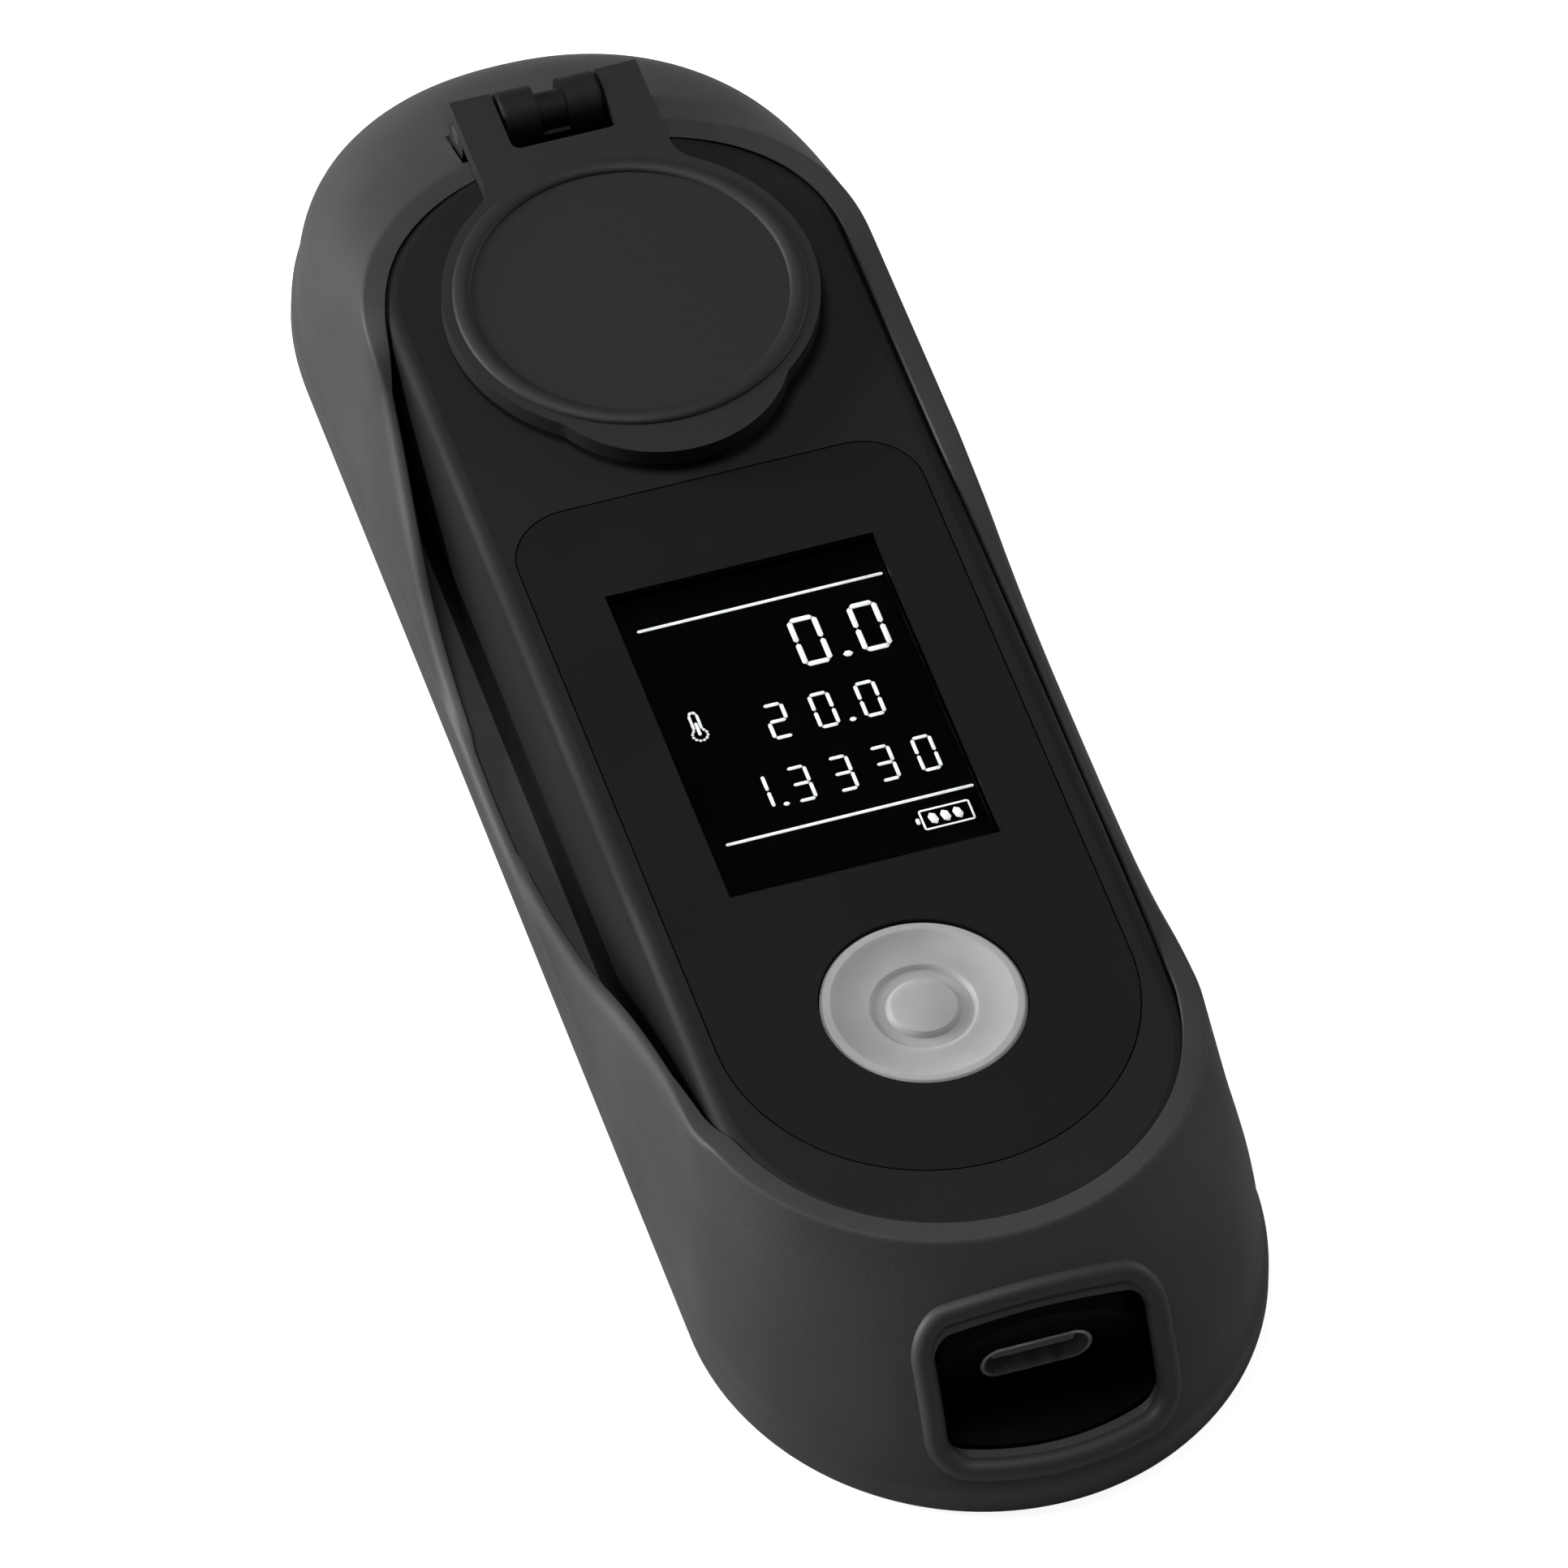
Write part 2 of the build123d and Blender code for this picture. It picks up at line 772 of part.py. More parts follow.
def cover_outline():
    """The cover's flat outline: disc, finger tab and neck."""
    disc = Pos(0, well_centre) * Circle(cover_radius)
    tab_centre = well_centre - tab_reach + tab_radius
    neck = Pos(0, (well_centre + hinge_centre) / 2) * Rectangle(
        2 * neck_half_width, hinge_centre - well_centre)
    shape = disc + neck + Pos(0, tab_centre) * Circle(tab_radius)
    roots = shape.vertices().filter_by(lambda v: abs(v.X) > 1 and v.Y < hinge_centre - 1)
    tab_roots = roots.filter_by(lambda v: v.Y < well_centre)
    shape = fillet(tab_roots, tab_blend_radius)
    neck_roots = shape.vertices().filter_by(
        lambda v: well_centre < v.Y < hinge_centre - 1 and abs(abs(v.X) - neck_half_width) < 0.05)
    return fillet(neck_roots, neck_blend_radius)


def sample_cover():
    top = hinge_height + cover_top
    underside = top - cover_thickness
    plate = Pos(0, 0, underside) * extrude(cover_outline(), cover_thickness)
    arm = make_face([
        Line((hinge_centre - cover_top, top), (hinge_centre + arm_heel - heel_radius, top)),
        CenterArc((hinge_centre + arm_heel - heel_radius, top - heel_radius), heel_radius, 90, -90),
        Line((hinge_centre + arm_heel, top - heel_radius), (hinge_centre + arm_heel, hinge_height)),
        Line((hinge_centre + arm_heel, hinge_height), (hinge_centre - cover_top, hinge_height)),
        Line((hinge_centre - cover_top, hinge_height), (hinge_centre - cover_top, top)),
    ])
    width = neck_half_width
    arms = extrude(Plane.YZ * arm, width, both=True)
    arms -= block(-width, width, hinge_centre - 2 * cover_top, hinge_centre,
                  hinge_height - 1, underside)
    arms += cross_bar(hinge_centre, hinge_height, arm_radius, -width, width)
    body = plate + arms
    slot = block(-slot_half_width, slot_half_width, slot_near_edge, far_away + 10,
                 hinge_height - 2 * arm_radius, top + 1)
    slot = fillet(slot.edges().filter_by(Axis.Z).sort_by(Axis.Y)[:2], slot_corner_radius)
    body -= slot
    body -= cross_bar(hinge_centre, hinge_height, pin_radius + pin_fit, -width, width)
    bead_outline = Pos(bead_radius, top) * Ellipse(bead_width / 2, bead_height)
    bead = Pos(0, well_centre, 0) * revolve(Plane.XZ * bead_outline, Axis.Z)
    return body + bead


def cover_seal():
    """Soft ring under the cover that closes on the well's rim."""
    high = hinge_height + cover_top - cover_thickness
    low = face_height + well_rim_rise + cover_seal_gap
    ring = post(0, well_centre, cover_seal_radius, low, high)
    return ring - post(0, well_centre, cover_seal_radius - cover_seal_width, low, high)


def hinge_pin():
    return cross_bar(hinge_centre, hinge_height, pin_radius, -neck_half_width, neck_half_width)


PARTS = {
    "rubber_boot": rubber_boot,
    "front_case": front_case,
    "rear_case": rear_case,
    "case_gasket": gasket_ring,
    "case_screws": case_screws,
    "front_label": front_label,
    "display_window": display_window,
    "lcd_glass": lcd_glass,
    "lcd_frame": lcd_frame,
    "backlight_panel": backlight_panel,
    "button_cap": button_cap,
    "switch_body": switch_body,
    "switch_plunger": switch_plunger,
    "main_board": main_board,
    "board_screws": board_screws,
    "board_chips": board_chips,
    "usb_shell": usb_shell,
    "usb_tongue": usb_tongue,
    "usb_seal": usb_seal,
    "battery_cell": battery_cell,
    "battery_pad": battery_pad,
    "sample_well": sample_well,
    "prism": prism,
    "optics_housing": optics_housing,
    "optics_screws": optics_screws,
    "light_source": light_source,
    "light_board": lambda: small_board(-1),
    "beam_lens": beam_lens,
    "line_sensor": line_sensor,
    "sensor_board": lambda: small_board(1),
    "temperature_sensor": temperature_sensor,
    "sample_cover": sample_cover,
    "cover_seal": cover_seal,
    "hinge_pin": hinge_pin,
}

os.makedirs("parts", exist_ok=True)
for name, make in PARTS.items():
    export_step(make(), f"parts/{name}.step")
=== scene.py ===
import bmesh
import bpy
import math
from mathutils import Matrix, Vector


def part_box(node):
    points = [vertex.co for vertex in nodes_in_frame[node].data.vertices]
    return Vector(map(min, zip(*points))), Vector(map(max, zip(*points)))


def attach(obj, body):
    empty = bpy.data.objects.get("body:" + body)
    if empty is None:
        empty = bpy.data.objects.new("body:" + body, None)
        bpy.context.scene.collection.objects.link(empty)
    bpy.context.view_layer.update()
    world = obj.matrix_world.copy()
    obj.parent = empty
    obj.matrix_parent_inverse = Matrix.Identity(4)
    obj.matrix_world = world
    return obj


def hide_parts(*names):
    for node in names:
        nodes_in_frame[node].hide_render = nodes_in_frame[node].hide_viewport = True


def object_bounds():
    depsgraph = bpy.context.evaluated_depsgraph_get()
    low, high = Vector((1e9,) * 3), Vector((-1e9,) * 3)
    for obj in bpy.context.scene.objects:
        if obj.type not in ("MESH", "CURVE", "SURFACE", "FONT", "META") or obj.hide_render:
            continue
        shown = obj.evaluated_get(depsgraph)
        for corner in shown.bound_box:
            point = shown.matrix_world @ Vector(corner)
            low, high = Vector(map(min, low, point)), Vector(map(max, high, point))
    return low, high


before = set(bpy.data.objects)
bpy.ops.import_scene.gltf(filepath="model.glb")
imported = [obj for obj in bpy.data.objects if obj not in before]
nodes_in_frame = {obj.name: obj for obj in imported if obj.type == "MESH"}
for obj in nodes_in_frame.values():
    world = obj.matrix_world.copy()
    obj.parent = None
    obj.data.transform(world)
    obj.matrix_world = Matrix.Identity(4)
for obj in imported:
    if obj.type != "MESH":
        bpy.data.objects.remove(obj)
cad_low, cad_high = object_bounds()

# Boot
# A one-piece black rubber boot that is pulled over the meter and grips it all round. Its wall
# leans in towards the rim, with a deep finger scoop on the left and a shallow one on the right.
# Moulded with a fine satin grain, and handling leaves faint dull and polished patches.
mm = 0.001  # the boot, its window and collar, and the marks are drawn in millimetres
rim = 18.6
# the lip's section at the rim and in the scoops, and the drop over which one turns into the other
rim_width, scoop_width = 1.95, 1.2
rim_edge_across, scoop_edge_across = 0.2, 0.85
rim_edge_up, scoop_edge_up = 0.25, 1.3
lip_change = 3.0
lip_shoulder = 0.15
lowest_top = 1.9
bottom_round = 0.9
floor_level = 2.0
flange_top = 3.5
far_fullness = 2.2
# height above the bench, and there the half width, both tips and the depth of both bows
half_widths = [(0.9, 22.7), (3.2, 22.65), (3.4, 22.45), (8.6, 22.0), (13.6, 21.15), (18.6, 20.7)]
near_tips = [(0.9, -74.15), (3.2, -74.1), (3.4, -73.85), (8.6, -71.5), (13.6, -67.9), (18.6, -61.7)]
far_tips = [(0.9, 74.1), (3.2, 74.05), (3.4, 73.9), (8.6, 72.9), (13.6, 67.4), (18.6, 55.9)]
near_bows = [(0.9, 23.8), (8.6, 23.2), (13.6, 22.0), (18.6, 20.6)]
far_bows = [(0.9, 23.6), (8.6, 24.0), (13.6, 22.8), (18.6, 17.8)]
# place along the meter, and there the wall's top edge
left_scoop = [(-47, 18.6), (-37, 15.7), (-27, 12.0), (-16, 7.0), (-6, 3.8), (5, 2.9), (15, 4.3),
              (21, 6.5), (25.4, 9.3), (30, 11.9), (34.7, 14.7), (38.6, 17.5), (42, 18.4), (45, 18.6)]
right_scoop = [(-44, 18.6), (-38, 17.9), (-31, 16.3), (-24, 15.4), (-14, 15.3), (-4, 15.7),
               (3, 16.6), (9, 17.8), (16, 18.6)]
side_steps, bow_steps = 150, 80
round_steps, wall_steps, lip_steps, inner_steps = 5, 30, 6, 12
column_count = 2 * (side_steps + bow_steps)
halvings = 16


def through(points, at):
    """A smooth curve through points, level beyond both ends."""
    if at <= points[0][0]:
        return points[0][1]
    if at >= points[-1][0]:
        return points[-1][1]
    last = next(index for index, point in enumerate(points) if point[0] >= at)
    first = last - 1
    span = points[last][0] - points[first][0]
    slopes = []
    for index in (first, last):
        before, after = points[max(index - 1, 0)], points[min(index + 1, len(points) - 1)]
        slopes.append((after[1] - before[1]) / (after[0] - before[0]) * span)
    t = (at - points[first][0]) / span
    return ((2 * t ** 3 - 3 * t ** 2 + 1) * points[first][1] + (t ** 3 - 2 * t ** 2 + t) * slopes[0]
            + (3 * t ** 2 - 2 * t ** 3) * points[last][1] + (t ** 3 - t ** 2) * slopes[1])


def straight(points, at):
    """Straight lines through points, level beyond both ends."""
    for before, after in zip(points, points[1:]):
        if at <= after[0]:
            share = max(0, (at - before[0]) / (after[0] - before[0]))
            return before[1] + share * (after[1] - before[1])
    return points[-1][1]


def boot_point(column, height, inwards):
    """A point of one column round the boot, at a height and moved in by a distance."""
    shape = straight if height < flange_top else through
    half = shape(half_widths, height) - inwards
    near_bow, far_bow = through(near_bows, height) - inwards, through(far_bows, height) - inwards
    near = shape(near_tips, height) + inwards + near_bow
    far = shape(far_tips, height) - inwards - far_bow
    on_left, step = divmod(column, side_steps + bow_steps)
    if step < side_steps:
        along = (far - near) * step / side_steps
        return (-half, far - along) if on_left else (half, near + along)
    turn = math.pi * (step - side_steps) / bow_steps
    across, along = math.cos(turn), math.sin(turn)
    if on_left:
        return -half * across, near - near_bow * along
    fullness = 2 / far_fullness
    return half * math.copysign(abs(across) ** fullness, across), far + far_bow * along ** fullness


def wall_profile(top):
    """Heights and distances inwards: up the outside, over the lip and down the inside."""
    share = min(1.0, (rim - top) / lip_change)
    across = rim_edge_across + (scoop_edge_across - rim_edge_across) * share
    up = rim_edge_up + (scoop_edge_up - rim_edge_up) * share
    width = rim_width + (scoop_width - rim_width) * share
    edge = top - up
    inner_top = top - lip_shoulder
    profile = []
    for step in range(round_steps):
        turn = math.pi / 2 * step / round_steps
        profile.append((bottom_round * (1 - math.cos(turn)), bottom_round * (1 - math.sin(turn))))
    for step in range(wall_steps):
        profile.append((bottom_round + (edge - bottom_round) * step / wall_steps, 0))
    for step in range(lip_steps + 1):
        turn = math.pi / 2 * step / lip_steps
        profile.append((edge + up * math.sin(turn), across * (1 - math.cos(turn))))
    profile.append((top, width - lip_shoulder))
    for step in range(inner_steps + 1):
        profile.append((inner_top - (inner_top - floor_level) * step / inner_steps, width))
    return profile


def wall_top(column):
    """The height where a column meets the edge of its scoop, found by halving."""
    low, high = lowest_top, rim
    for halving in range(halvings):
        middle = (low + high) / 2
        x, y = boot_point(column, middle, 0)
        if through(left_scoop if x < 0 else right_scoop, y) > middle:
            low = middle
        else:
            high = middle
    return high


def boot_mesh():
    """The wall as a grid of columns and levels, closed by a floor and an underside."""
    points, faces = [], []
    for column in range(column_count):
        for height, inwards in wall_profile(wall_top(column)):
            x, y = boot_point(column, height, inwards)
            points.append((x * mm, y * mm, height * mm))
    levels = len(points) // column_count
    for column in range(column_count):
        first, beside = column * levels, (column + 1) % column_count * levels
        for level in range(levels - 1):
            faces.append((first + level, beside + level, beside + level + 1, first + level + 1))
    faces.append([column * levels for column in reversed(range(column_count))])
    faces.append([column * levels + levels - 1 for column in range(column_count)])
    mesh = bpy.data.meshes.new("boot_skin")
    mesh.from_pydata(points, [], faces)
    return mesh


def new_piece(name, data):
    """An object of its own in the scene, made of a mesh, a light or a camera."""
    piece = bpy.data.objects.new(name, data)
    bpy.context.scene.collection.objects.link(piece)
    return piece


def make_plain(piece):
    """The piece's modifiers worked into its mesh, and then removed."""
    mesh = bpy.data.meshes.new_from_object(piece.evaluated_get(bpy.context.evaluated_depsgraph_get()))
    piece.modifiers.clear()
    piece.data = mesh


def cutter(name, outline, first, last, axis):
    """A straight tool along the x or y axis, over an outline in the other two axes."""
    points, count = [], len(outline)
    for end in (first, last):
        for a, b in outline:
            points.append((end * mm, a * mm, b * mm) if axis == "x" else (a * mm, end * mm, b * mm))
    faces = [list(range(count)), list(reversed(range(count, 2 * count)))]
    for step in range(count):
        beside = (step + 1) % count
        faces.append((step, count + step, count + beside, beside))
    mesh = bpy.data.meshes.new(name)
    mesh.from_pydata(points, [], faces)
    work = bmesh.new()
    work.from_mesh(mesh)
    bmesh.ops.recalc_face_normals(work, faces=work.faces)
    work.to_mesh(mesh)
    work.free()
    return new_piece(name, mesh)


def cut_away(piece, tools):
    """The tools' shapes taken out of the piece, and the tools out of the scene."""
    for tool in tools:
        cut = piece.modifiers.new(tool.name, "BOOLEAN")
        cut.operation = "DIFFERENCE"
        cut.solver = "EXACT"
        cut.object = tool
    make_plain(piece)
    for tool in tools:
        bpy.data.objects.remove(tool)


window_half_width = 8.8
window_low, window_high = 4.7, 13.6
window_corner = 1.8
window_arch = 1.4
window_start, window_end = -90, -50
corner_steps, arch_steps = 8, 16


def window_outline(outside):
    """The window's rounded rectangle, grown by a distance, with its top edge arched."""
    half, corner = window_half_width + outside, window_corner + outside
    low, high = window_low - outside, window_high + outside
    outline = []
    for x, z, start in ((half, high, 0), (-half, high, 90), (-half, low, 180), (half, low, 270)):
        centre_x = x - math.copysign(corner, x)
        centre_z = z - corner if z == high else z + corner
        for step in range(corner_steps + 1):
            turn = math.radians(start + 90 * step / corner_steps)
            outline.append((centre_x + corner * math.cos(turn), centre_z + corner * math.sin(turn)))
        if start == 0:
            outline += [(centre_x - 2 * centre_x * step / arch_steps, high) for step in range(1, arch_steps)]
    middle = (low + high) / 2
    arched = []
    for x, z in outline:
        share = max(0, (z - middle) / (high - middle))
        arched.append((x, z + window_arch * (1 - (x / half) ** 2) * share))
    return arched


pin_low, pin_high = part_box("hinge_pin")
hinge_y, hinge_z = (pin_low.y + pin_high.y) / 2 / mm, (pin_low.z + pin_high.z) / 2 / mm
trough_radius, trough_half_width, trough_steps = 3.0, 8.05, 32
knuckle_half_width, knuckle_reach = 4.4, 2.45
knuckle_low, knuckle_above = 13.0, 2.0
crease_angle = math.radians(35)

trough = []
for step in range(trough_steps):
    turn = 2 * math.pi * step / trough_steps
    trough.append((hinge_y + trough_radius * math.cos(turn), hinge_z + trough_radius * math.sin(turn)))
knuckle_near, knuckle_far = hinge_y - knuckle_reach, hinge_y + knuckle_reach
knuckle_top = hinge_z + knuckle_above
knuckle_hole = [(knuckle_near, knuckle_low), (knuckle_far, knuckle_low),
                (knuckle_far, knuckle_top), (knuckle_near, knuckle_top)]
boot_skin = new_piece("boot_skin", boot_mesh())
cut_away(boot_skin, [
    cutter("window", window_outline(0), window_start, window_end, "y"),
    cutter("trough", trough, -trough_half_width, trough_half_width, "x"),
    cutter("knuckle_hole", knuckle_hole, -knuckle_half_width, knuckle_half_width, "x"),
])
boot_skin.data.shade_smooth()
boot_skin.data.set_sharp_from_angle(angle=crease_angle)

patch_size, patch_detail = 0.016, 4.0
shine_drift = 0.05
grain_detail = 2.0


def new_finish(name):
    """An empty material with its shader, and the object's own coordinates to place patterns."""
    material = bpy.data.materials.new(name)
    material.use_nodes = True
    tree = material.node_tree
    shader = tree.nodes["Principled BSDF"]
    place = tree.nodes.new("ShaderNodeTexCoord").outputs["Object"]
    return material, tree, shader, place


def noise(tree, place, size, detail=3.0, stretch=(1, 1, 1)):
    """Soft random pattern whose features are about the given size in metres."""
    mapping = tree.nodes.new("ShaderNodeMapping")
    mapping.inputs["Scale"].default_value = stretch
    tree.links.new(place, mapping.inputs["Vector"])
    texture = tree.nodes.new("ShaderNodeTexNoise")
    texture.inputs["Scale"].default_value = 1 / size
    texture.inputs["Detail"].default_value = detail
    tree.links.new(mapping.outputs["Vector"], texture.inputs["Vector"])
    return texture.outputs["Fac"]


def spread(tree, value, low, high, from_low=0.3, from_high=0.7):
    """The pattern's range brought between two values."""
    node = tree.nodes.new("ShaderNodeMapRange")
    node.inputs["From Min"].default_value = from_low
    node.inputs["From Max"].default_value = from_high
    node.inputs["To Min"].default_value = low
    node.inputs["To Max"].default_value = high
    tree.links.new(value, node.inputs["Value"])
    return node.outputs["Result"]


def two_tone(tree, value, first, second):
    """A colour between two, by the pattern."""
    node = tree.nodes.new("ShaderNodeMix")
    node.data_type = "RGBA"
    node.inputs["A"].default_value = (*first, 1)
    node.inputs["B"].default_value = (*second, 1)
    tree.links.new(value, node.inputs["Factor"])
    return node.outputs["Result"]


def raise_grain(tree, shader, height, depth):
    """Grain that stands up from the surface by a depth in metres."""
    bump = tree.nodes.new("ShaderNodeBump")
    bump.inputs["Distance"].default_value = depth
    tree.links.new(height, bump.inputs["Height"])
    tree.links.new(bump.outputs["Normal"], shader.inputs["Normal"])


def moulded_finish(name, colour, roughness, grain, depth, variation=0.12, specular=0.4):
    """Moulded plastic or rubber: fine grain, and slow drifts in tone and in shine."""
    material, tree, shader, place = new_finish(name)
    patches = noise(tree, place, patch_size, patch_detail)
    darker = [channel * (1 - variation) for channel in colour]
    lighter = [channel * (1 + variation) for channel in colour]
    tone = spread(tree, patches, 0, 1)
    tree.links.new(two_tone(tree, tone, darker, lighter), shader.inputs["Base Color"])
    shine = spread(tree, patches, roughness + shine_drift, roughness - shine_drift)
    tree.links.new(shine, shader.inputs["Roughness"])
    shader.inputs["Specular IOR Level"].default_value = specular
    raise_grain(tree, shader, noise(tree, place, grain, grain_detail), depth)
    return material


def dress(material, *pieces):
    """One material all over each of the pieces."""
    for piece in pieces:
        mesh = nodes_in_frame[piece].data
        mesh.materials.clear()
        mesh.materials.append(material)


boot_rubber = moulded_finish("boot_rubber", colour=(0.034, 0.034, 0.035), roughness=0.56,
                             grain=0.00022, depth=0.000018, variation=0.24)
dress(boot_rubber, "rubber_boot")
boot_skin.data.materials.append(boot_rubber)
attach(boot_skin, "housing")
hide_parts("rubber_boot")

# Collar round the pocket's window
# A soft bead, moulded in one with the boot, that frames the window over the charging pocket.
# It follows the window's outline on the boot's sloping end and stands a quarter of a millimetre proud.
collar_outside = 0.55
collar_sizes = {"Radius": 0.95 * mm, "Sunk": 0.68 * mm}
collar_steps, bead_steps = 180, 20
ray_start, ray_length = cad_low.y - 0.01, 0.05


def new_shape(name, size_names):
    """An empty tree with a named input for each size, and the inputs' identifiers."""
    tree = bpy.data.node_groups.new(name, "GeometryNodeTree")
    tree.interface.new_socket("Geometry", in_out="INPUT", socket_type="NodeSocketGeometry")
    inputs = {}
    for size_name in size_names:
        socket = tree.interface.new_socket(size_name, in_out="INPUT", socket_type="NodeSocketFloat")
        inputs[size_name] = socket.identifier
    tree.interface.new_socket("Geometry", in_out="OUTPUT", socket_type="NodeSocketGeometry")
    return tree, inputs


def end_shape(tree, shape, material):
    """The end of a tree: its instances made real and its material set."""
    whole = tree.nodes.new("GeometryNodeRealizeInstances")
    paint = tree.nodes.new("GeometryNodeSetMaterial")
    paint.inputs["Material"].default_value = material
    made = tree.nodes.new("NodeGroupOutput")
    tree.links.new(shape, whole.inputs["Geometry"])
    tree.links.new(whole.outputs["Geometry"], paint.inputs["Geometry"])
    tree.links.new(paint.outputs["Geometry"], made.inputs["Geometry"])


def shape_piece(piece, tree, inputs, sizes):
    """A tree's shape for these sizes, worked into the piece as a plain mesh."""
    shaping = piece.modifiers.new("shape", "NODES")
    shaping.node_group = tree
    for size_name, size in sizes.items():
        shaping[inputs[size_name]] = size
    make_plain(piece)


collar_shape, collar_inputs = new_shape("collar_shape", collar_sizes)
make, join = collar_shape.nodes.new, collar_shape.links.new
given = make("NodeGroupInput")
ring = make("GeometryNodeMeshToCurve")
even = make("GeometryNodeResampleCurve")
even.inputs["Count"].default_value = collar_steps
boot_surface = make("GeometryNodeObjectInfo")
boot_surface.inputs["Object"].default_value = boot_skin
onto = make("GeometryNodeRaycast")
onto.inputs["Ray Direction"].default_value = (0, 1, 0)
onto.inputs["Ray Length"].default_value = ray_length
sink = make("ShaderNodeCombineXYZ")
lay = make("GeometryNodeSetPosition")
bead_section = make("GeometryNodeCurvePrimitiveCircle")
bead_section.inputs["Resolution"].default_value = bead_steps
bead = make("GeometryNodeCurveToMesh")
smooth = make("GeometryNodeSetShadeSmooth")
join(given.outputs["Geometry"], ring.inputs["Mesh"])
join(ring.outputs["Curve"], even.inputs["Curve"])
join(boot_surface.outputs["Geometry"], onto.inputs["Target Geometry"])
join(given.outputs["Sunk"], sink.inputs["Y"])
join(even.outputs["Curve"], lay.inputs["Geometry"])
join(onto.outputs["Hit Position"], lay.inputs["Position"])
join(sink.outputs["Vector"], lay.inputs["Offset"])
join(given.outputs["Radius"], bead_section.inputs["Radius"])
join(lay.outputs["Geometry"], bead.inputs["Curve"])
join(bead_section.outputs["Curve"], bead.inputs["Profile Curve"])
join(bead.outputs["Mesh"], smooth.inputs["Geometry"])
end_shape(collar_shape, smooth.outputs["Geometry"], boot_rubber)

collar_ring = window_outline(collar_outside)
collar_path = bpy.data.meshes.new("collar_path")
collar_path.from_pydata([(x * mm, ray_start, z * mm) for x, z in collar_ring],
                        [(step, (step + 1) % len(collar_ring)) for step in range(len(collar_ring))], [])
window_collar = new_piece("window_collar", collar_path)
shape_piece(window_collar, collar_shape, collar_inputs, collar_sizes)
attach(window_collar, "housing")

# Case shells and their seal
# Two black moulded shells, screwed together from below on a soft seal. The upper one carries the
# face and the hinge knuckle, with a spark-eroded face and smooth sides darkened by painted shade. The lower
# one is blacker: partly its own plastic, partly painted shade in the pocket and low down in the boot.
case_face_colour = (0.0105, 0.0105, 0.0107)
# painted shade: the colour given to the shell's sides, which the boot's wall and lip shade
case_side_painted_shade = (0.002, 0.002, 0.0021)
# upward share of a surface's direction below which it gets all of the painted shade, and above which none
shade_below, unshaded_above = 0.5, 0.9


def case_finish_with_side_shade():
    """Textured where the shell faces up, with painted shade on its sides, darker the more they face
    sideways.
    """
    material = moulded_finish("case_plastic", colour=case_face_colour, roughness=0.6,
                              grain=0.00018, depth=0.00001, variation=0.1, specular=0.16)
    tree = material.node_tree
    base = tree.nodes["Principled BSDF"].inputs["Base Color"]
    # painted shade: mixed in by how far the surface faces sideways
    facing = tree.nodes.new("ShaderNodeSeparateXYZ")
    tree.links.new(tree.nodes.new("ShaderNodeNewGeometry").outputs["Normal"], facing.inputs["Vector"])
    shade_or_face = tree.nodes.new("ShaderNodeMix")
    shade_or_face.data_type = "RGBA"
    shade_or_face.inputs["A"].default_value = (*case_side_painted_shade, 1)
    tree.links.new(base.links[0].from_socket, shade_or_face.inputs["B"])
    unshaded_share = spread(tree, facing.outputs["Z"], 0, 1, shade_below, unshaded_above)
    tree.links.new(unshaded_share, shade_or_face.inputs["Factor"])
    tree.links.new(shade_or_face.outputs["Result"], base)
    return material


# painted shade: the lower shell is made near black, partly its own black plastic and partly shade for the
# dark charging pocket and the lower sides inside the boot
rear_plastic_and_shade = moulded_finish("rear_plastic_and_shade", colour=(0.0012, 0.0012, 0.0012), roughness=0.32,
                                grain=0.0003, depth=0.000006, variation=0.1, specular=0.12)
seal_rubber = moulded_finish("seal_rubber", colour=(0.02, 0.02, 0.021), roughness=0.6,
                             grain=0.0003, depth=0.00001)
dress(case_finish_with_side_shade(), "front_case")
dress(rear_plastic_and_shade, "rear_case")
dress(seal_rubber, "case_gasket", "usb_seal", "cover_seal")

# Screws
# Zinc-plated cap screws with a hexagon socket, whose heads keep fine rings from turning. They
# hold the case shells, the main board and the optics housing.
wave_factor = 20  # the wave texture multiplies its own scale by this
ring_waver, ring_shade = 0.6, 0.85
smear_size = 0.004
smear_polish, smear_dulling = 0.06, 0.08


def turned_metal(name, colour, roughness, ring, depth, centre_y=0.0):
    """Bright metal with the fine rings a lathe leaves about an upright line."""
    material, tree, shader, place = new_finish(name)
    shader.inputs["Metallic"].default_value = 1
    mapping = tree.nodes.new("ShaderNodeMapping")
    mapping.inputs["Location"].default_value = (0, -centre_y, 0)
    tree.links.new(place, mapping.inputs["Vector"])
    rings = tree.nodes.new("ShaderNodeTexWave")
    rings.wave_type = "RINGS"
    rings.rings_direction = "Z"
    rings.inputs["Scale"].default_value = 1 / (wave_factor * ring)
    rings.inputs["Distortion"].default_value = ring_waver
    tree.links.new(mapping.outputs["Vector"], rings.inputs["Vector"])
    darker = [channel * ring_shade for channel in colour]
    tree.links.new(two_tone(tree, rings.outputs["Fac"], darker, colour), shader.inputs["Base Color"])
    smears = noise(tree, place, smear_size)
    shine = spread(tree, smears, roughness - smear_polish, roughness + smear_dulling)
    tree.links.new(shine, shader.inputs["Roughness"])
    raise_grain(tree, shader, rings.outputs["Fac"], depth)
    return material


screw_steel = turned_metal("screw_steel", colour=(0.52, 0.52, 0.5), roughness=0.32,
                           ring=0.0002, depth=0.000004)
dress(screw_steel, "case_screws", "board_screws", "optics_screws")

